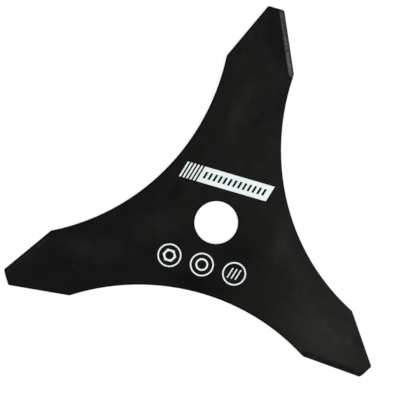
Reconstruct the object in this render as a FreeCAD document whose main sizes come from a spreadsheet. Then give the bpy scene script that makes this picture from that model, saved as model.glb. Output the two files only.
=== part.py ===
import FreeCAD, Part
import math
import os
import Sketcher

# A three-armed brush cutter blade, cut from one flat steel plate.
#
# All lengths are millimetres. The frame is the blade's own: the origin is the centre of the bore on the
# lower face, +Z runs up along the bore, and the first arm points along +Y. Each arm is symmetric in
# outline: a blunt tip, a straight cutting edge down to a shoulder on either side, and a concave side that
# runs on into the hub. Seen from above, the right edge of every arm is bevelled on the upper face and the
# left one on the lower face, so that the blade cuts the same way whichever face is up.

# Driving sizes in millimetres, degrees and counts: a name, a value and what it measures.
SIZES = [
    ("overall_diameter", 255.0, "circle through the tip corners before they are rounded"),
    ("plate_thickness", 1.6, "steel plate"),
    ("bore_diameter", 25.4, "one inch, for the gearbox flange"),
    ("arm_count", 3, "arms, evenly spaced"),
    ("tip_width", 9.5, "blunt end of an arm, from corner to corner"),
    ("edge_angle", 24.8, "cutting edge against the arm's centre line"),
    ("edge_length", 36.3, "cutting edge, from tip corner to shoulder"),
    ("hub_radius", 43.0, "bore centre to the nearest point of a concave side"),
    ("tip_corner_radius", 1.2, "rounding of the tip corners, seen from above"),
    ("shoulder_radius", 0.8, "rounding of the shoulders, seen from above"),
    ("rim_break", 0.15, "chamfer where the burr came off the rims of both faces"),
    ("bevel_width", 3.05, "ground bevel, measured across the face"),
    ("bevel_land", 0.35, "plate left at the cutting edge under the bevel"),
    ("bevel_runout", 2.1, "how far the bevel goes on past the shoulder"),
    ("wheel_radius", 4.0, "round end that the grinding wheel left on the bevel"),
    ("wheel_lap", 0.4, "how far the wheel reached over the bevel's inner border"),
]

# Two coordinates closer than this are the same place.
SAME_PLACE = 1e-4
# A step that changes the volume by less than this has done nothing.
LEAST_CHANGE = 1e-3


def make_sheet(doc):
    """Puts the driving sizes in a sheet, one row each, with the name as the value's alias."""
    sheet = doc.addObject("Spreadsheet::Sheet", "sizes")
    for row, (name, value, meaning) in enumerate(SIZES, start=1):
        sheet.set(f"A{row}", name)
        sheet.set(f"B{row}", str(value))
        sheet.set(f"C{row}", meaning)
        sheet.setAlias(f"B{row}", name)
    doc.recompute()
    return sheet


def origin_item(body, role):
    """The body's own origin plane or axis with that role."""
    return next(item for item in body.Origin.OriginFeatures if item.Role == role)


def add_sketch(body, name, support):
    """An empty sketch that lies on a plane of the body."""
    sketch = body.newObject("Sketcher::SketchObject", name)
    sketch.AttachmentSupport = [(support, "")]
    sketch.MapMode = "FlatFace"
    return sketch


def dimension(sketch, name, kind, *items, expression):
    """Adds a dimension to a sketch and binds it to the sheet."""
    index = sketch.addConstraint(Sketcher.Constraint(kind, *items))
    sketch.renameConstraint(index, name)
    sketch.setExpression(f"Constraints.{name}", expression)


def add_feature(body, kind, name):
    """Adds a feature and makes it the body's last step."""
    feature = body.newObject(f"PartDesign::{kind}", name)
    body.Tip = feature
    return feature


def repeat_round_bore(body, name, originals):
    """Repeats the features once for each arm."""
    pattern = add_feature(body, "PolarPattern", name)
    pattern.Originals = originals
    pattern.Axis = (origin_item(body, "Z_Axis"), [""])
    pattern.Angle = 360
    pattern.setExpression("Occurrences", "sizes.arm_count")
    return pattern


def mirrored(point):
    """The same point across the arm's centre line."""
    return FreeCAD.Vector(-point.x, point.y, point.z)


def arm_corners(sheet):
    """Right half of an arm: tip corner, shoulder, hub point, and the centre of the concave side's arc."""
    slope = math.radians(sheet.edge_angle)
    half_sector = math.pi / sheet.arm_count
    half_tip = sheet.tip_width / 2
    tip = FreeCAD.Vector(half_tip, math.sqrt((sheet.overall_diameter / 2) ** 2 - half_tip**2), 0)
    shoulder = tip + FreeCAD.Vector(math.sin(slope), -math.cos(slope), 0) * sheet.edge_length
    bisector = FreeCAD.Vector(math.sin(half_sector), math.cos(half_sector), 0)
    hub = bisector * sheet.hub_radius
    # The arc's centre is on the bisector, as far from the hub point as from the shoulder.
    chord = shoulder - hub
    side_radius = chord.Length**2 / (2 * chord.dot(bisector))
    return tip, shoulder, hub, hub + bisector * side_radius


def side_arc(start, end, centre):
    """The arc about a centre, counterclockwise from start to end."""
    circle = Part.Circle(centre, FreeCAD.Vector(0, 0, 1), (start - centre).Length)
    first = math.atan2(start.y - centre.y, start.x - centre.x)
    last = math.atan2(end.y - centre.y, end.x - centre.x)
    return Part.ArcOfCircle(circle, first, last)


def draw_arm(body, sheet):
    """One arm with its share of the hub, as far as the lines halfway to the next arms."""
    sketch = add_sketch(body, "arm_outline", origin_item(body, "XY_Plane"))
    tip, shoulder, hub, centre = arm_corners(sheet)
    start, end, middle = 1, 2, 3
    bore_centre = (-1, start)
    centre_line = -2

    edge_right = sketch.addGeometry(Part.LineSegment(shoulder, tip))
    blunt_tip = sketch.addGeometry(Part.LineSegment(tip, mirrored(tip)))
    edge_left = sketch.addGeometry(Part.LineSegment(mirrored(tip), mirrored(shoulder)))
    side_left = sketch.addGeometry(side_arc(mirrored(hub), mirrored(shoulder), mirrored(centre)))
    half_left = sketch.addGeometry(Part.LineSegment(mirrored(hub), FreeCAD.Vector()))
    half_right = sketch.addGeometry(Part.LineSegment(FreeCAD.Vector(), hub))
    side_right = sketch.addGeometry(side_arc(shoulder, hub, centre))

    joins = [
        (edge_right, end, blunt_tip, start),
        (blunt_tip, end, edge_left, start),
        (edge_left, end, side_left, end),
        (side_left, start, half_left, start),
        (half_left, end, *bore_centre),
        (half_right, start, *bore_centre),
        (half_right, end, side_right, end),
        (side_right, start, edge_right, start),
    ]
    for join in joins:
        sketch.addConstraint(Sketcher.Constraint("Coincident", *join))
    mirror_pairs = [
        (blunt_tip, start, blunt_tip, end),
        (edge_right, start, edge_left, end),
        (half_right, end, half_left, start),
    ]
    for pair in mirror_pairs:
        sketch.addConstraint(Sketcher.Constraint("Symmetric", *pair, centre_line))
    for side, half_line in ((side_right, half_right), (side_left, half_left)):
        sketch.addConstraint(Sketcher.Constraint("PointOnObject", side, middle, half_line))

    half_sector = math.pi / sheet.arm_count
    dimension(
        sketch, "tip_width", "Distance", blunt_tip, sheet.tip_width, expression="sizes.tip_width"
    )
    dimension(
        sketch, "tip_reach", "Distance", *bore_centre, edge_right, end, sheet.overall_diameter / 2,
        expression="sizes.overall_diameter / 2",
    )
    dimension(
        sketch, "edge_length", "Distance", edge_right, sheet.edge_length, expression="sizes.edge_length"
    )
    dimension(
        sketch, "tip_corner", "Angle", blunt_tip, start, edge_right, end,
        math.radians(90 + sheet.edge_angle), expression="90 + sizes.edge_angle",
    )
    dimension(
        sketch, "hub_radius", "Distance", half_right, sheet.hub_radius, expression="sizes.hub_radius"
    )
    dimension(
        sketch, "sector", "Angle", half_right, start, half_left, end, 2 * half_sector,
        expression="360 / sizes.arm_count",
    )
    return sketch


def is_upright(edge):
    """True for an edge that runs straight up through the plate."""
    box = edge.BoundBox
    return box.XLength < SAME_PLACE and box.YLength < SAME_PLACE and box.ZLength > SAME_PLACE


def is_flat_at(edge, height):
    """True for an edge that lies wholly at one height."""
    box = edge.BoundBox
    return abs(box.ZMin - height) < SAME_PLACE and abs(box.ZMax - height) < SAME_PLACE


def reach(edge):
    """How far an upright edge stands from the axis of the bore."""
    foot = edge.Vertexes[0].Point
    return math.hypot(foot.x, foot.y)


def pick_edges(feature, wanted):
    """Names of a feature's edges that pass a test."""
    return [f"Edge{number}" for number, edge in enumerate(feature.Shape.Edges, start=1) if wanted(edge)]


def soften(body, kind, name, base, wanted, size_name, property_name):
    """Rounds or chamfers the edges of the base that pass a test."""
    body.Document.recompute()
    feature = add_feature(body, kind, name)
    feature.Base = (base, pick_edges(base, wanted))
    feature.setExpression(property_name, f"sizes.{size_name}")
    return feature


def cut_bore(body, sheet):
    """The round hole through the middle of the plate."""
    sketch = add_sketch(body, "bore_outline", origin_item(body, "XY_Plane"))
    circle = Part.Circle(FreeCAD.Vector(), FreeCAD.Vector(0, 0, 1), sheet.bore_diameter / 2)
    rim = sketch.addGeometry(circle)
    sketch.addConstraint(Sketcher.Constraint("Coincident", rim, 3, -1, 1))
    dimension(sketch, "bore", "Diameter", rim, sheet.bore_diameter, expression="sizes.bore_diameter")
    bore = add_feature(body, "Pocket", "bore")
    bore.Profile = sketch
    bore.Type = "ThroughAll"
    bore.Reversed = True
    return bore


def bevel_plane(body, sheet, name, is_upper):
    """A plane on the face that is ground, with X along the cutting edge and Y out across it.

    Its origin is the tip corner. The lower plane is the upper one turned over about the arm's centre line.
    """
    plane = body.newObject("PartDesign::Plane", name)
    plane.AttachmentSupport = [(origin_item(body, "XY_Plane"), "")]
    plane.MapMode = "FlatFace"
    plane.MapReversed = not is_upper
    along_edge = FreeCAD.Rotation(FreeCAD.Vector(0, 0, 1), sheet.edge_angle - 90)
    plane.AttachmentOffset = FreeCAD.Placement(FreeCAD.Vector(), along_edge)
    plane.setExpression("AttachmentOffset.Base.x", "sizes.tip_width / 2")
    plane.setExpression(
        "AttachmentOffset.Base.y",
        "sqrt((sizes.overall_diameter / 2) ^ 2 - (sizes.tip_width / 2) ^ 2)",
    )
    plane.setExpression("AttachmentOffset.Base.z", "sizes.plate_thickness" if is_upper else "0")
    plane.setExpression("AttachmentOffset.Rotation.Angle", "sizes.edge_angle - 90")
    return plane


def grind_bevel(body, sheet, name, is_upper):
    """Grinds one cutting edge: on the right from above, or on the left from below.

    The sketch is the track of the wheel's flat face and lies in the bevel itself, which starts on the
    plate's face one bevel width in from the edge and sinks towards the edge. All the steel on the outer
    side of that plane goes. The track starts beyond the tip and ends rounded, past the shoulder.
    """
    face = bevel_plane(body, sheet, f"{name}_plane", is_upper)
    track = add_sketch(body, f"{name}_track", face)
    fall = math.degrees(math.atan((sheet.plate_thickness - sheet.bevel_land) / sheet.bevel_width))
    tilt = FreeCAD.Rotation(FreeCAD.Vector(-1, 0, 0), fall)
    track.AttachmentOffset = FreeCAD.Placement(FreeCAD.Vector(), tilt)
    track.setExpression("AttachmentOffset.Base.y", "-sizes.bevel_width")
    track.setExpression(
        "AttachmentOffset.Rotation.Angle",
        "atan((sizes.plate_thickness - sizes.bevel_land) / sizes.bevel_width)",
    )

    start, end = 1, 2
    before_tip = -sheet.tip_width
    past_shoulder = sheet.edge_length + sheet.bevel_runout
    clear_of_edge = 2 * sheet.bevel_width + sheet.wheel_radius
    round_centre = FreeCAD.Vector(past_shoulder, -sheet.wheel_lap, 0)
    round_centre += FreeCAD.Vector(-1, 1, 0) * sheet.wheel_radius
    corners = [
        FreeCAD.Vector(round_centre.x, -sheet.wheel_lap, 0),
        FreeCAD.Vector(before_tip, -sheet.wheel_lap, 0),
        FreeCAD.Vector(before_tip, clear_of_edge, 0),
        FreeCAD.Vector(past_shoulder, clear_of_edge, 0),
        FreeCAD.Vector(past_shoulder, round_centre.y, 0),
    ]
    sides = [track.addGeometry(Part.LineSegment(*pair)) for pair in zip(corners, corners[1:])]
    inner_side, tip_side, outer_side, end_side = sides
    for first, second in zip(sides, sides[1:]):
        track.addConstraint(Sketcher.Constraint("Coincident", first, end, second, start))
    for side in (inner_side, outer_side):
        track.addConstraint(Sketcher.Constraint("Horizontal", side))
    for side in (tip_side, end_side):
        track.addConstraint(Sketcher.Constraint("Vertical", side))
    wheel = Part.Circle(round_centre, FreeCAD.Vector(0, 0, 1), sheet.wheel_radius)
    round_end = track.addGeometry(Part.ArcOfCircle(wheel, -math.pi / 2, 0))
    track.addConstraint(Sketcher.Constraint("Tangent", round_end, start, inner_side, start))
    track.addConstraint(Sketcher.Constraint("Tangent", round_end, end, end_side, end))

    corner = (-1, start)
    dimension(
        track, "wheel_radius", "Radius", round_end, sheet.wheel_radius, expression="sizes.wheel_radius"
    )
    dimension(
        track, "wheel_lap", "DistanceY", inner_side, start, *corner, sheet.wheel_lap,
        expression="sizes.wheel_lap",
    )
    dimension(
        track, "before_tip", "DistanceX", tip_side, start, *corner, -before_tip,
        expression="sizes.tip_width",
    )
    dimension(
        track, "past_shoulder", "DistanceX", *corner, end_side, start, past_shoulder,
        expression="sizes.edge_length + sizes.bevel_runout",
    )
    dimension(
        track, "clear_of_edge", "DistanceY", *corner, tip_side, end, clear_of_edge,
        expression="2 * sizes.bevel_width + sizes.wheel_radius",
    )
    bevel = add_feature(body, "Pocket", name)
    bevel.Profile = track
    bevel.Reversed = True
    bevel.setExpression("Length", "sizes.plate_thickness")
    return bevel


def make_blade(doc, sheet):
    """The blade: a plate with its bore, then the softened corners and rims, then the ground bevels."""
    body = doc.addObject("PartDesign::Body", "blade")
    body.Label = "blade"
    body.Placement = FreeCAD.Placement(FreeCAD.Vector(), FreeCAD.Rotation())
    arm_outline = draw_arm(body, sheet)
    arm = add_feature(body, "Pad", "arm")
    arm.Profile = arm_outline
    arm.setExpression("Length", "sizes.plate_thickness")
    repeat_round_bore(body, "plate", [arm])
    bore = cut_bore(body, sheet)

    top = sheet.plate_thickness
    doc.recompute()
    tip, shoulder, _, _ = arm_corners(sheet)
    halfway = (tip.Length + shoulder.Length) / 2
    tips = soften(
        body, "Fillet", "tip_corners", bore,
        lambda edge: is_upright(edge) and reach(edge) > halfway, "tip_corner_radius", "Radius",
    )
    shoulders = soften(
        body, "Fillet", "shoulders", tips,
        lambda edge: is_upright(edge) and shoulder.Length - SAME_PLACE < reach(edge) < halfway,
        "shoulder_radius", "Radius",
    )
    soften(
        body, "Chamfer", "rims", shoulders,
        lambda edge: is_flat_at(edge, top) or is_flat_at(edge, 0), "rim_break", "Size",
    )

    right_bevel = grind_bevel(body, sheet, "right_bevel", is_upper=True)
    left_bevel = grind_bevel(body, sheet, "left_bevel", is_upper=False)
    repeat_round_bore(body, "bevels", [right_bevel, left_bevel])
    doc.recompute()
    return body


def check(doc, body):
    """Stops before anything is written if an object failed, or if a step of the body did nothing."""
    for item in doc.Objects:
        if "Invalid" in item.State or "Error" in item.State:
            raise RuntimeError(f"{item.Name}: {item.State}")
    for step in body.Group:
        base = getattr(step, "BaseFeature", None)
        if base and abs(step.Shape.Volume - base.Shape.Volume) < LEAST_CHANGE:
            raise RuntimeError(f"{step.Name} changes nothing")
    if body.Shape.isNull() or not body.Shape.isValid() or len(body.Shape.Solids) != 1:
        raise RuntimeError(f"{body.Label}: not one valid solid")


def main():
    doc = FreeCAD.newDocument("brush_cutter_blade")
    blade = make_blade(doc, make_sheet(doc))
    check(doc, blade)
    os.makedirs("parts", exist_ok=True)
    blade.Shape.exportStep(f"parts/{blade.Label}.step")


main()
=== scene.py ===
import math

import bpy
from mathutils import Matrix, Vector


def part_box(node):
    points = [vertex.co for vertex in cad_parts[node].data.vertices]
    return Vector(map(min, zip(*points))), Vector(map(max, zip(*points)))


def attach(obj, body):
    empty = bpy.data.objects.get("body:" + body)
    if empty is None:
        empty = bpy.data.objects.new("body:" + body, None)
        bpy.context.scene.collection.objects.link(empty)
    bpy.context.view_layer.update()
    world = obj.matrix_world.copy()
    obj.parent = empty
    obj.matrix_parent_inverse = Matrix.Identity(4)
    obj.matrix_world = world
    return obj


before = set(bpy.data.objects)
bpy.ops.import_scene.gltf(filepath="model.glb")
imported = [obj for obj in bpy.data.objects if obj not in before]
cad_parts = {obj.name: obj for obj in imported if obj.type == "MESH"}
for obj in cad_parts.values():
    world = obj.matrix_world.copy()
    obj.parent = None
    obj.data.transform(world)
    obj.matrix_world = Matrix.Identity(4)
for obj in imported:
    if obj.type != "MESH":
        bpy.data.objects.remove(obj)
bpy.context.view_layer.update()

# A brush cutter blade that lies flat on a white floor, lit by a softbox on the right.
# Lengths are metres, in the blade's own frame: the bore's centre is at x = y = 0, the lower face
# at z = 0, +Z is up and the first arm points along +Y.

MM = 0.001
LOW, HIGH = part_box("blade")
TOP = HIGH.z

# How the photograph's camera stood to the blade. Pixels are counted from the picture's top left.
PHOTO_SIZE = 400
BORE_PIXEL = (216.24, 222.82)
PIXELS_PER_METRE = 1716.0
CAMERA_DISTANCE = 0.549
CAMERA_TILT_DEGREES = (8.16, 0.63)
BLADE_TURN_DEGREES = -15.3
SENSOR_WIDTH_MM = 36.0
CLIP_START = 0.01

# The white world, and the floor, which lies just under the blade and glows only for the camera.
WORLD_STRENGTH = 0.06
FLOOR_REACH = 3.0
FLOOR_GAP = 0.02 * MM
FLOOR_GREY = 0.9
FLOOR_ROUGHNESS = 0.9
GLOW_STRENGTH = 1.03
GLOW_SHARE = 0.88

# The outline, as the solid has it. It tells the coat where the rims and the ground edges are.
ARM_COUNT = 3
# Half the angle from one arm to the next.
HALF_SECTOR = math.pi / ARM_COUNT
BORE_RADIUS = 12.7 * MM
HUB_RADIUS = 43.0 * MM
TIP_WIDTH = 9.5 * MM
TIP_HEIGHT = HIGH.y
EDGE_ANGLE = math.radians(24.8)
EDGE_LENGTH = 36.3 * MM
BEVEL_WIDTH = 3.05 * MM
# Two nicks run across the first arm's bevel, at these places along its edge.
NICKS = (90.6 * MM, 100.1 * MM)
# How far the line of a cutting edge passes from the bore's centre, and where along it its ends are.
EDGE_REACH = TIP_HEIGHT * math.sin(EDGE_ANGLE) + TIP_WIDTH / 2 * math.cos(EDGE_ANGLE)
EDGE_OUTER_END = TIP_HEIGHT * math.cos(EDGE_ANGLE) - TIP_WIDTH / 2 * math.sin(EDGE_ANGLE)
EDGE_INNER_END = EDGE_OUTER_END - EDGE_LENGTH

# How upright the surface's normal is where a face gives way to a bevel, a bevel to a broken rim,
# and a rim to a wall. It is 1 on a face, 0.92 on a bevel, 0.71 on a rim and 0 on a wall.
FACE_TO_BEVEL = (0.95, 0.99)
BEVEL_TO_RIM = (0.80, 0.86)
RIM_TO_WALL = (0.40, 0.50)

# Noise seldom leaves this range.
NOISE_RANGE = (0.3, 0.7)

# Greys of the blade, from the darkest to the palest, and the tints that some of them take. The
# darkest is painted shade along the rims.
RIM_SHADE_GREY = 0.0006
DARK_GREY = 0.002
COAT_GREY = 0.005
SHEARED_GREY = 0.008
SCUFF_GREY = 0.014
WORN_RIM_GREY = 0.03
DUST_GREY = 0.035
STEEL_GREY = 0.10
WARM_TINT = (1.01, 1.03, 0.76)
TIP_TINT = (0.45, 1.06, 0.92)
STEEL_TINT = (0.90, 1.0, 0.98)
COAT_SPECULAR = 0.22
# The coat's roughness where its satin is glossiest and dullest, and how much less it is at the rim.
COAT_ROUGHNESS = (0.31, 0.37)
RIM_GLOSS = 0.08

# Five specks of dust, as x and y in mm.
DUST_PLACES = ((-78.8, -35.3), (-73.7, -46.5), (82.5, -44.3), (-38, -7), (62, -26))
DUST_SIZE = 1.3 * MM

# The ink where its film is thin and where it is full, and the coat that shows in its pinholes.
THIN_INK = (0.77, 0.87, 0.865, 1)
FULL_INK = (0.83, 0.905, 0.90, 1)
PINHOLE_GREY = 0.30
PINHOLE_TINT = (0.9, 1.0, 1.0)
THIN_INK_ROUGHNESS = 0.58
FULL_INK_ROUGHNESS = 0.48
INK_SPECULAR = 0.3

# How high the ink of the print stands above the upper face, and how deep it reaches into the coat.
INK_HEIGHT = 0.03 * MM
INK_DEPTH = 0.01 * MM
# The whole print sits a little askew to the arms and left of the bore.
PRINT_TURN_DEGREES = -1.1
PRINT_SHIFT = -1.03 * MM
SLANT = math.tan(math.radians(15.2))

# The white field, with a row of slanted dashes where the coat shows, and the bars to its left.
FIELD_BOTTOM = 20.26 * MM
FIELD_TOP = 29.82 * MM
FIELD_LEFT = -15.8 * MM
FIELD_RIGHT = 26.3 * MM
DASH_COUNT = 13
DASH_PITCH = 2.95 * MM
DASH_WIDTH = 1.4 * MM
DASH_BOTTOM = 22.9 * MM
DASH_TOP = 27.1 * MM
FIRST_DASH = -12.9 * MM
BAR_COUNT = 5
BAR_PITCH = 2.085 * MM
BAR_WIDTH = 1.06 * MM

# The three ringed marks under the bore.
RING_PITCH = 19.78 * MM
RING_ROW = -26.15 * MM
RING_RADIUS = 7.03 * MM
RING_STROKE = 0.86 * MM
NUT_RADIUS = 4.1 * MM
NUT_HOLE = 2.45 * MM
WASHER_RADIUS = 3.75 * MM
WASHER_HOLE = 2.75 * MM
MARK_BAR_COUNT = 3
MARK_BAR_PITCH = 2.4 * MM
MARK_BAR_WIDTH = 0.74 * MM
MARK_BAR_HEIGHT = 6.4 * MM
ROUND_SIDES = 72
HEXAGON_SIDES = 6


def camera_axes():
    """The camera's right, up and back directions in the blade's frame."""
    tilt = math.hypot(*CAMERA_TILT_DEGREES)
    axis = Vector((*CAMERA_TILT_DEGREES, 0)) / tilt
    tilted = Matrix.Rotation(math.radians(tilt), 3, axis)
    turned = tilted @ Matrix.Rotation(math.radians(BLADE_TURN_DEGREES), 3, "Z")
    return [row.copy() for row in turned.row]


def make_camera():
    """The photograph's camera, which looks down on the blade with no shift."""
    right, up, back = camera_axes()
    middle = PHOTO_SIZE / 2
    across = (BORE_PIXEL[0] - middle) / PIXELS_PER_METRE
    down = (BORE_PIXEL[1] - middle) / PIXELS_PER_METRE
    place = Vector((0, 0, TOP)) - right * across + up * down + back * CAMERA_DISTANCE
    data = bpy.data.cameras.new("camera")
    data.sensor_width = SENSOR_WIDTH_MM
    data.lens = PIXELS_PER_METRE * CAMERA_DISTANCE / PHOTO_SIZE * SENSOR_WIDTH_MM
    data.clip_start = CLIP_START
    camera = bpy.data.objects.new("camera", data)
    turn = Matrix((right, up, back)).transposed().to_4x4()
    camera.matrix_world = Matrix.Translation(place) @ turn
    bpy.context.scene.collection.objects.link(camera)
    bpy.context.scene.camera = camera


def area_lamp(name, bearing, height, distance, size, power):
    """A square softbox that faces the bore.

    Its bearing is counterclockwise from the picture's right side and its height is above the
    floor, both in degrees.
    """
    right = camera_axes()[0]
    flat_right = Vector((right.x, right.y, 0)).normalized()
    turn = Matrix.Rotation(math.radians(bearing), 3, "Z")
    out = turn @ flat_right * math.cos(math.radians(height))
    out.z = math.sin(math.radians(height))
    data = bpy.data.lights.new(name, "AREA")
    data.size = size
    data.energy = power
    lamp = bpy.data.objects.new(name, data)
    lamp.location = out * distance
    lamp.rotation_euler = out.to_track_quat("Z", "Y").to_euler()
    bpy.context.scene.collection.objects.link(lamp)


def make_lights():
    """A softbox on the right, a weak one on the left and a faint white world."""
    area_lamp("softbox_right", bearing=-4, height=46, distance=1.2, size=0.6, power=17.5)
    area_lamp("fill_left", bearing=192, height=40, distance=1.2, size=0.6, power=3)
    world = bpy.data.worlds.new("world")
    world.use_nodes = True
    background = world.node_tree.nodes["Background"]
    background.inputs["Color"].default_value = (1, 1, 1, 1)
    background.inputs["Strength"].default_value = WORLD_STRENGTH
    bpy.context.scene.world = world


class Shader:
    """A material's node tree, with short ways to add and join its nodes."""

    def __init__(self, name):
        self.material = bpy.data.materials.new(name)
        self.material.use_nodes = True
        self.tree = self.material.node_tree
        self.tree.nodes.clear()
        self.surface = self.node("OutputMaterial").inputs["Surface"]
        self.bsdf = self.node("BsdfPrincipled")
        self.join(self.bsdf.outputs["BSDF"], self.surface)
        self.place = self.node("TexCoord").outputs["Object"]

    def node(self, kind, **settings):
        """A new node. A setting is one of its own properties."""
        node = self.tree.nodes.new(f"ShaderNode{kind}")
        for name, value in settings.items():
            setattr(node, name, value)
        return node

    def join(self, source, target):
        """Links an output to an input, or writes a plain number or colour there."""
        if hasattr(source, "links"):
            self.tree.links.new(source, target)
        else:
            target.default_value = source

    def maths(self, operation, *values, clamp=False):
        node = self.node("Math", operation=operation, use_clamp=clamp)
        for value, socket in zip(values, node.inputs):
            self.join(value, socket)
        return node.outputs["Value"]

    def product(self, first, *others):
        for other in others:
            first = self.maths("MULTIPLY", first, other)
        return first

    def total(self, first, *others):
        for other in others:
            first = self.maths("ADD", first, other)
        return first

    def vectors(self, operation, *values, output="Vector"):
        node = self.node("VectorMath", operation=operation)
        for value, socket in zip(values, node.inputs):
            self.join(value, socket)
        return node.outputs[output]

    def parts(self, vector):
        """A vector's x, y and z."""
        node = self.node("SeparateXYZ")
        self.join(vector, node.inputs["Vector"])
        return node.outputs

    def vector(self, x, y, z):
        node = self.node("CombineXYZ")
        for value, socket in zip((x, y, z), node.inputs):
            self.join(value, socket)
        return node.outputs["Vector"]

    def noise(self, size, detail=2.0, roughness=0.5, vector=None, output="Fac"):
        """Noise from 0 to 1 whose lumps are about so large."""
        node = self.node("TexNoise")
        self.join(vector or self.place, node.inputs["Vector"])
        self.join(1 / size, node.inputs["Scale"])
        self.join(detail, node.inputs["Detail"])
        self.join(roughness, node.inputs["Roughness"])
        return node.outputs[output]

    def spread(self, value, low, high, to_low=0.0, to_high=1.0, kind="LINEAR"):
        """Carries a value from one range to another and stops it at the ends."""
        node = self.node("MapRange", interpolation_type=kind)
        for name, number in (("Value", value), ("From Min", low), ("From Max", high),
                             ("To Min", to_low), ("To Max", to_high)):
            self.join(number, node.inputs[name])
        return node.outputs["Result"]

    def fall(self, value, low, high, top=1.0, kind="LINEAR"):
        """The top where a value is low, falling to 0 where it is high."""
        return self.spread(value, low, high, to_low=top, to_high=0.0, kind=kind)

    def warped(self, size, reach):
        """The point's place, pushed about by noise, to give what is drawn there an uneven rim."""
        push = self.vectors("SUBTRACT", self.noise(size, output="Color"), (0.5, 0.5, 0.5))
        scaled = self.vectors("MULTIPLY", push, (reach, reach, 0))
        return self.vectors("ADD", self.place, scaled)

    def patch(self, place, x, y, length, width, bearing=0):
        """A soft oval on the upper face: 1 in its middle, 0 at its rim.

        Its length runs along the bearing, in degrees counterclockwise from +X.
        """
        node = self.node("Mapping", vector_type="TEXTURE")
        self.join(place, node.inputs["Vector"])
        self.join((x, y, TOP), node.inputs["Location"])
        self.join((0, 0, math.radians(bearing)), node.inputs["Rotation"])
        self.join((length / 2, width / 2, MM), node.inputs["Scale"])
        distance = self.vectors("LENGTH", node.outputs["Vector"], output="Value")
        return self.fall(distance, 0.0, 1.0, kind="SMOOTHSTEP")

    def blend(self, factor, first, second):
        """A colour between two colours."""
        node = self.node("Mix", data_type="RGBA")
        colours = [socket for socket in node.inputs if socket.type == "RGBA"]
        self.join(factor, node.inputs["Factor"])
        self.join(first, colours[0])
        self.join(second, colours[1])
        return next(socket for socket in node.outputs if socket.type == "RGBA")

    def bump(self, *layers):
        """Joins bumps one over another to the surface. A layer is its height, 0 to 1, and depth."""
        normal = None
        for height, depth in layers:
            node = self.node("Bump")
            self.join(depth, node.inputs["Distance"])
            self.join(height, node.inputs["Height"])
            if normal:
                self.join(normal, node.inputs["Normal"])
            normal = node.outputs["Normal"]
        self.join(normal, self.bsdf.inputs["Normal"])


def grey(level, tint=(1, 1, 1)):
    """A colour with an opaque alpha."""
    return (level * tint[0], level * tint[1], level * tint[2], 1)


def make_floor():
    """A white floor that keeps the blade's soft shadow and shows white to the camera."""
    corners = [(-FLOOR_REACH, -FLOOR_REACH, 0), (FLOOR_REACH, -FLOOR_REACH, 0),
               (FLOOR_REACH, FLOOR_REACH, 0), (-FLOOR_REACH, FLOOR_REACH, 0)]
    mesh = bpy.data.meshes.new("floor")
    mesh.from_pydata(corners, [], [(0, 1, 2, 3)])
    floor = bpy.data.objects.new("floor", mesh)
    floor.location.z = LOW.z - FLOOR_GAP
    bpy.context.scene.collection.objects.link(floor)

    shader = Shader("floor_white")
    shader.bsdf.inputs["Base Color"].default_value = grey(FLOOR_GREY)
    shader.bsdf.inputs["Roughness"].default_value = FLOOR_ROUGHNESS
    glow = shader.node("Emission")
    glow.inputs["Strength"].default_value = GLOW_STRENGTH
    path = shader.node("LightPath")
    seen = shader.maths("MAXIMUM", path.outputs["Is Camera Ray"], path.outputs["Is Glossy Ray"])
    seen = shader.maths("MAXIMUM", seen, path.outputs["Is Transmission Ray"])
    mix = shader.node("MixShader")
    shader.join(shader.product(seen, GLOW_SHARE), mix.inputs["Fac"])
    shader.join(shader.bsdf.outputs["BSDF"], mix.inputs[1])
    shader.join(glow.outputs["Emission"], mix.inputs[2])
    shader.join(mix.outputs["Shader"], shader.surface)
    mesh.materials.append(shader.material)


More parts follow.
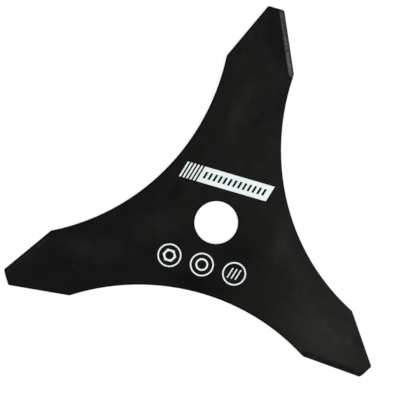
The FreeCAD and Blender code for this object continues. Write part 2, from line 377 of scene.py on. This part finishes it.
class BladeShader(Shader):
    """A shader that knows where on the blade a point lies."""

    def __init__(self, name):
        super().__init__(name)
        self.x, self.y, _ = self.parts(self.place)
        self.upward = self.parts(self.node("NewGeometry").outputs["True Normal"])["Z"]
        self.find_slopes()
        self.find_arm()

    def find_slopes(self):
        """Masks of the bevels, the broken rims and the walls."""
        upright = self.maths("ABSOLUTE", self.upward)
        below_face = self.fall(upright, *FACE_TO_BEVEL)
        below_bevel = self.fall(upright, *BEVEL_TO_RIM)
        self.wall = self.fall(upright, *RIM_TO_WALL)
        self.bevel = self.maths("SUBTRACT", below_face, below_bevel)
        self.rim = self.maths("SUBTRACT", below_bevel, self.wall)

    def find_arm(self):
        """Where the point lies on the nearest arm.

        The side is how far right of the arm's middle it is, and the depth how far inside the
        outline. Inwards is how far inside the line of the cutting edge it is, and lengthwise how
        far along that line.
        """
        bearing = self.maths("ARCTAN2", self.x, self.y)
        bearing = self.maths("WRAP", bearing, HALF_SECTOR, -HALF_SECTOR)
        flat = self.vectors("MULTIPLY", self.place, (1, 1, 0))
        radius = self.vectors("LENGTH", flat, output="Value")
        self.side = self.product(radius, self.maths("SINE", bearing))
        across = self.maths("ABSOLUTE", self.side)
        along = self.product(radius, self.maths("COSINE", bearing))
        out = self.total(self.product(across, math.cos(EDGE_ANGLE)),
                         self.product(along, math.sin(EDGE_ANGLE)))
        self.inwards = self.maths("SUBTRACT", EDGE_REACH, out)
        self.lengthwise = self.maths("SUBTRACT", self.product(along, math.cos(EDGE_ANGLE)),
                                     self.product(across, math.sin(EDGE_ANGLE)))

        # The concave side is an arc centred between two arms, from the hub's circle to the
        # shoulder.
        shoulder = Vector((TIP_WIDTH / 2 + EDGE_LENGTH * math.sin(EDGE_ANGLE),
                           TIP_HEIGHT - EDGE_LENGTH * math.cos(EDGE_ANGLE)))
        between = Vector((math.sin(HALF_SECTOR), math.cos(HALF_SECTOR)))
        reach = shoulder.dot(between)
        chord = HUB_RADIUS ** 2 - 2 * HUB_RADIUS * reach + shoulder.length_squared
        arc_radius = chord / (reach - HUB_RADIUS) / 2
        centre = between * (HUB_RADIUS + arc_radius)
        on_arm = self.vector(across, along, 0.0)
        from_centre = self.vectors("DISTANCE", on_arm, (*centre, 0), output="Value")

        depth = self.maths("MINIMUM", self.inwards,
                           self.maths("SUBTRACT", from_centre, arc_radius))
        depth = self.maths("MINIMUM", depth, self.maths("SUBTRACT", TIP_HEIGHT, along))
        self.depth = self.maths("MINIMUM", depth, self.maths("SUBTRACT", radius, BORE_RADIUS))


def coat_sheen_and_shade(blade):
    """The coat's tone against its plain grey: mottled, with the photograph's patches, the paler
    ones painted sheen and the darker ones painted shade.
    """
    soft = blade.warped(size=9 * MM, reach=6 * MM)

    def mottle(size, reach, roughness):
        """Noise about 1 that goes as far above and below it as the reach."""
        lumps = blade.noise(size, detail=3.0, roughness=roughness)
        return blade.spread(lumps, *NOISE_RANGE, to_low=1 - reach, to_high=1 + reach)

    def mark(x, y, length, width, bearing, strength):
        """A soft oval whose place and size are given in mm."""
        oval = blade.patch(soft, x * MM, y * MM, length * MM, width * MM, bearing)
        return blade.product(oval, strength)

    # Painted sheen: the right arm, the strip from it to the field, the top arm's streak, and the
    # left arm.
    painted_sheen = blade.total(
        mark(78, -49, length=98, width=54, bearing=-31, strength=1.95),
        mark(54, -15, length=38, width=16, bearing=-45, strength=0.9),
        mark(40, -1, length=46, width=16, bearing=-78, strength=1.05),
        mark(-5, 65, length=56, width=14, bearing=85, strength=1.1),
        mark(-32, -11, length=46, width=28, bearing=30, strength=0.95),
        mark(-68, -34, length=66, width=24, bearing=6, strength=1.0),
        mark(-100, -46, length=44, width=9, bearing=55, strength=0.35),
    )
    # Painted shade: the top arm's tip and its right rim, the parts beside its streak, the hub round
    # the bore and the rings, and the rim of the right arm.
    painted_shade = blade.total(
        mark(5, 111, length=58, width=18, bearing=-65, strength=0.9),
        mark(16, 75, length=50, width=13, bearing=80, strength=0.5),
        mark(9.5, 69, length=32, width=9, bearing=75, strength=0.6),
        mark(-26, 15, length=28, width=12, bearing=60, strength=0.5),
        mark(16, -13, length=56, width=40, bearing=2, strength=0.75),
        mark(0, -37, length=54, width=22, bearing=0, strength=0.8),
        mark(101, -46, length=30, width=13, bearing=-55, strength=0.9),
    )
    # The coat's plain tone, raised by the painted sheen and lowered by the painted shade.
    marks = blade.maths("SUBTRACT", blade.total(painted_sheen, 1.0), painted_shade)
    return blade.product(
        mottle(size=26 * MM, reach=0.15, roughness=0.5),
        mottle(size=7 * MM, reach=0.12, roughness=0.6),
        mottle(size=0.8 * MM, reach=0.13, roughness=0.7),
        marks,
    )


def dust(blade):
    """Pale specks of dust: those with a place of their own, and fainter ones that noise strews."""
    place = blade.warped(size=0.5 * MM, reach=0.5 * MM)
    specks = [blade.patch(place, x * MM, y * MM, DUST_SIZE, DUST_SIZE) for x, y in DUST_PLACES]
    lumps = blade.noise(1.4 * MM, detail=0.0)
    strewn = blade.spread(lumps, 0.84, 0.88, to_high=0.4)
    return blade.total(*specks, strewn)


def face_colour(blade, rim_shade_line):
    """The coat of the faces: a little warm right of the left arm, greener at the top arm's tip,
    with painted sheen, painted shade beside some bevels and a painted shaded line along the rims.
    """
    clouds = blade.spread(blade.noise(18 * MM), 0.35, 0.65, to_low=0.5)
    warmth = blade.product(clouds, blade.spread(blade.x, -60 * MM, 0.0))
    hue = blade.blend(warmth, grey(COAT_GREY), grey(COAT_GREY, WARM_TINT))
    soft = blade.warped(size=9 * MM, reach=6 * MM)
    tip = blade.patch(soft, x=3 * MM, y=118 * MM, length=70 * MM, width=30 * MM, bearing=-65)
    hue = blade.blend(tip, hue, grey(COAT_GREY, TIP_TINT))

    # Painted shade: the face is darker beside the bevels of the top arm and the right arm.
    beside = blade.product(
        blade.fall(blade.inwards, BEVEL_WIDTH, BEVEL_WIDTH + 2 * MM, top=0.45),
        blade.spread(blade.lengthwise, EDGE_INNER_END - 4 * MM, EDGE_INNER_END),
        blade.maths("GREATER_THAN", blade.product(blade.side, blade.upward), 0.0),
        blade.spread(blade.x, -HUB_RADIUS, 0.0),
    )
    face = blade.vectors("SCALE", hue)
    # The coat's tone with its painted sheen and shade, and the painted shade beside the bevels.
    tone = blade.product(coat_sheen_and_shade(blade), blade.maths("SUBTRACT", 1.0, beside))
    blade.join(tone, face.node.inputs["Scale"])
    face = blade.blend(dust(blade), face, grey(DUST_GREY))

    rubbed = blade.spread(blade.noise(1.1 * MM, detail=3.0, roughness=0.7), 0.5, 0.65)
    scuffs = blade.product(rubbed, blade.fall(blade.depth, 0.6 * MM, 1.8 * MM, top=0.35))
    face = blade.blend(scuffs, face, grey(SCUFF_GREY))
    # Painted shade: a darker line along the rims.
    return blade.blend(rim_shade_line, face, grey(RIM_SHADE_GREY))


def bevel_looks(blade):
    """How bare the bevels' steel is, how much rougher than the coat, and its grinding marks.

    The first arm's bevel is the barest, most of all near its shoulder and along its middle.
    """
    line_length = 5 * MM
    line_width = 0.9 * MM
    stretched = blade.vector(blade.maths("DIVIDE", blade.lengthwise, line_length),
                             blade.maths("DIVIDE", blade.inwards, line_width), 0.0)
    lines = blade.noise(1.0, detail=3.0, roughness=0.6, vector=stretched)
    grain = blade.noise(1.2 * MM, detail=3.0, roughness=0.7)
    first_arm = blade.spread(blade.y, 0.0, HUB_RADIUS, to_low=0.35)
    crown_top = 1.9 * MM
    crown = blade.product(
        blade.spread(blade.depth, 0.6 * MM, crown_top, kind="SMOOTHSTEP"),
        blade.spread(blade.inwards, crown_top, BEVEL_WIDTH, to_low=1.0, to_high=0.6),
    )

    nick_core = 0.15 * MM
    nick_reach = 0.5 * MM
    past_nicks = [blade.maths("SUBTRACT", blade.lengthwise, place) for place in NICKS]
    nicks = blade.total(*[blade.fall(blade.maths("ABSOLUTE", distance), nick_core, nick_reach)
                          for distance in past_nicks])
    nicks = blade.product(nicks, blade.spread(first_arm, 0.8, 1.0))

    fade = blade.spread(blade.lengthwise, EDGE_INNER_END + 7 * MM, EDGE_OUTER_END - 10 * MM,
                        to_low=0.95, to_high=0.38, kind="SMOOTHSTEP")
    bare = blade.product(
        blade.spread(lines, 0.34, 0.60),
        blade.spread(grain, 0.38, 0.60),
        first_arm,
        crown,
        fade,
        blade.maths("SUBTRACT", 1.0, nicks, clamp=True),
    )
    rougher = blade.total(
        blade.spread(blade.lengthwise, EDGE_INNER_END, EDGE_OUTER_END, to_low=0.03, to_high=0.15),
        blade.fall(crown, 0.0, 1.0, top=0.12),
        blade.product(nicks, 0.1),
    )
    grinding = blade.product(blade.total(lines, grain), first_arm)
    return bare, rougher, grinding


def coat_blade():
    """The black coat of the steel: satin on the faces, worn at the rims, ground off on bevels."""
    blade = BladeShader("black_coat")
    bare, rougher, grinding = bevel_looks(blade)
    # Where the painted shade runs along the rims. The coat is also glossier there.
    rim_shade_line = blade.fall(blade.depth, 0.5 * MM, 1.0 * MM, top=0.9)
    worn = blade.spread(blade.noise(2.2 * MM, detail=4.0, roughness=0.7), 0.48, 0.62)
    stroke_width = 0.67 * MM
    stroke_length = 6.7 * MM
    strokes = blade.vectors("DIVIDE", blade.place, (stroke_width, stroke_width, stroke_length))
    shear = blade.noise(1.0, detail=2.0, vector=strokes)

    steel = blade.blend(bare, grey(DARK_GREY), grey(STEEL_GREY, STEEL_TINT))
    rim_grey = blade.blend(worn, grey(DARK_GREY), grey(WORN_RIM_GREY))
    wall_grey = blade.blend(blade.spread(shear, 0.35, 0.65), grey(DARK_GREY), grey(SHEARED_GREY))
    colour = blade.blend(blade.bevel, face_colour(blade, rim_shade_line), steel)
    colour = blade.blend(blade.rim, colour, rim_grey)
    colour = blade.blend(blade.wall, colour, wall_grey)
    blade.join(colour, blade.bsdf.inputs["Base Color"])

    clouds = blade.noise(5 * MM, detail=4.0, roughness=0.6)
    satin = blade.spread(clouds, *NOISE_RANGE, *COAT_ROUGHNESS)
    rough = blade.total(satin, blade.product(blade.bevel, rougher),
                        blade.product(rim_shade_line, -RIM_GLOSS))
    blade.join(rough, blade.bsdf.inputs["Roughness"])
    blade.join(blade.product(blade.bevel, bare), blade.bsdf.inputs["Metallic"])
    blade.bsdf.inputs["Specular IOR Level"].default_value = COAT_SPECULAR

    rolled_rim = blade.spread(blade.depth, 0.0, 0.8 * MM, kind="SMOOTHSTEP")
    waves = blade.noise(11 * MM, detail=1.0)
    fine_grain = blade.noise(0.5 * MM, detail=3.0, roughness=0.6)
    bevel_marks = blade.product(grinding, blade.bevel)
    rolled_edge = blade.product(blade.spread(blade.depth, 0.0, 0.9 * MM, kind="SMOOTHSTEP"),
                                blade.bevel)
    wall_marks = blade.product(shear, blade.wall)
    blade.bump(
        (rolled_rim, 0.05 * MM),
        (waves, 0.10 * MM),
        (fine_grain, 0.02 * MM),
        (bevel_marks, 0.2 * MM),
        (rolled_edge, 0.12 * MM),
        (wall_marks, 0.04 * MM),
    )
    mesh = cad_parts["blade"].data
    mesh.materials.clear()
    mesh.materials.append(blade.material)


def white_ink():
    """White screen ink with a faint cool tint, pinholes and an uneven film."""
    shader = Shader("white_ink")
    film = shader.spread(shader.noise(3.5 * MM, detail=3.0, roughness=0.6), *NOISE_RANGE)
    colour = shader.blend(film, THIN_INK, FULL_INK)
    pinholes = shader.spread(shader.noise(0.35 * MM, detail=1.0), 0.66, 0.76, to_high=0.45)
    colour = shader.blend(pinholes, colour, grey(PINHOLE_GREY, PINHOLE_TINT))
    shader.join(colour, shader.bsdf.inputs["Base Color"])
    rough = shader.spread(film, 0.0, 1.0, to_low=THIN_INK_ROUGHNESS, to_high=FULL_INK_ROUGHNESS)
    shader.join(rough, shader.bsdf.inputs["Roughness"])
    shader.bsdf.inputs["Specular IOR Level"].default_value = INK_SPECULAR
    screen_marks = shader.noise(0.3 * MM, detail=2.0)
    shader.bump((screen_marks, 0.004 * MM), (film, 0.01 * MM))
    return shader.material


def on_blade(x, y):
    """A point of the print's own plan, in the blade's frame."""
    angle = math.radians(PRINT_TURN_DEGREES)
    x += PRINT_SHIFT
    return x * math.cos(angle) - y * math.sin(angle), x * math.sin(angle) + y * math.cos(angle)


def print_piece(name, points, cells, ink):
    """A closed flat layer of ink made of cells that share their points."""
    low = TOP - INK_DEPTH
    high = TOP + INK_HEIGHT
    flat = [on_blade(x, y) for x, y in points]
    count = len(flat)
    vertices = [(x, y, low) for x, y in flat] + [(x, y, high) for x, y in flat]
    faces = [tuple(count + i for i in cell) for cell in cells]
    faces += [tuple(reversed(cell)) for cell in cells]
    edges = {edge for cell in cells for edge in zip(cell, (*cell[1:], cell[0]))}
    # An edge that no second cell runs along the other way is a border, and gets a wall.
    faces += [(a, b, count + b, count + a) for a, b in sorted(edges) if (b, a) not in edges]
    used = sorted({i for face in faces for i in face})
    index = {old: new for new, old in enumerate(used)}
    mesh = bpy.data.meshes.new(name)
    mesh.from_pydata([vertices[i] for i in used], [], [[index[i] for i in face] for face in faces])
    mesh.materials.append(ink)
    piece = bpy.data.objects.new(name, mesh)
    bpy.context.scene.collection.objects.link(piece)
    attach(piece, "root")


def slanted(x, y, middle):
    """A point moved right as it rises above the middle, so that an upright line leans."""
    return x + (y - middle) * SLANT, y


def grid(columns, rows, left_out=()):
    """Points and cells of a slanted grid of column and row lines, without the cells left out."""
    middle = (rows[0] + rows[-1]) / 2
    points = [slanted(x, y, middle) for y in rows for x in columns]
    width = len(columns)
    corners = [
        row * width + col
        for row in range(len(rows) - 1)
        for col in range(width - 1)
        if (col, row) not in left_out
    ]
    cells = [(first, first + 1, first + width + 1, first + width) for first in corners]
    return points, cells


def outline(radius_at):
    """Points round the origin, counterclockwise, at a radius that depends on the angle."""
    angles = [2 * math.pi * i / ROUND_SIDES for i in range(ROUND_SIDES)]
    return [(radius_at(a) * math.cos(a), radius_at(a) * math.sin(a)) for a in angles]


def circle(radius):
    return outline(lambda angle: radius)


def hexagon(radius):
    """A hexagon with the given radius to its corners."""
    sector = 2 * math.pi / HEXAGON_SIDES
    flat_radius = radius * math.cos(sector / 2)
    return outline(lambda angle: flat_radius / math.cos(angle % sector - sector / 2))


def band(outer, inner):
    """Points and cells of a closed band between two outlines with as many points."""
    count = len(outer)
    cells = [(i, (i + 1) % count, count + (i + 1) % count, count + i) for i in range(count)]
    return outer + inner, cells


def print_field(ink):
    """The white field, open where the row of slanted dashes shows the coat."""
    columns = [FIELD_LEFT]
    for i in range(DASH_COUNT):
        left = FIRST_DASH + i * DASH_PITCH - DASH_WIDTH / 2
        columns += [left, left + DASH_WIDTH]
    columns.append(FIELD_RIGHT)
    rows = [FIELD_BOTTOM, DASH_BOTTOM, DASH_TOP, FIELD_TOP]
    dashes = {(1 + 2 * i, 1) for i in range(DASH_COUNT)}
    points, cells = grid(columns, rows, dashes)
    print_piece("print_field", points, cells, ink)


def print_bars(ink):
    """The slanted bars to the left of the field."""
    gap = BAR_PITCH - BAR_WIDTH
    for i in range(BAR_COUNT):
        right = FIELD_LEFT - gap - i * BAR_PITCH
        points, cells = grid([right - BAR_WIDTH, right], [FIELD_BOTTOM, FIELD_TOP])
        print_piece(f"print_bar_{i + 1}", points, cells, ink)


def in_ring(number, points):
    """Points moved into one of the three rings, counted from the left."""
    return [(x + (number - 2) * RING_PITCH, y + RING_ROW) for x, y in points]


def print_marks(ink):
    """Three rings that hold a nut, a washer and slanted bars."""
    for number in (1, 2, 3):
        points, cells = band(circle(RING_RADIUS), circle(RING_RADIUS - RING_STROKE))
        print_piece(f"print_ring_{number}", in_ring(number, points), cells, ink)
    points, cells = band(hexagon(NUT_RADIUS), circle(NUT_HOLE))
    print_piece("print_nut", in_ring(1, points), cells, ink)
    points, cells = band(circle(WASHER_RADIUS), circle(WASHER_HOLE))
    print_piece("print_washer", in_ring(2, points), cells, ink)
    rows = [-MARK_BAR_HEIGHT / 2, MARK_BAR_HEIGHT / 2]
    for i in range(MARK_BAR_COUNT):
        left = (i - (MARK_BAR_COUNT - 1) / 2) * MARK_BAR_PITCH - MARK_BAR_WIDTH / 2
        points, cells = grid([left, left + MARK_BAR_WIDTH], rows)
        print_piece(f"print_mark_bar_{i + 1}", in_ring(3, points), cells, ink)


ink = white_ink()
make_camera()
make_lights()
make_floor()
coat_blade()
print_field(ink)
print_bars(ink)
print_marks(ink)
bpy.context.scene.view_settings.view_transform = "Standard"
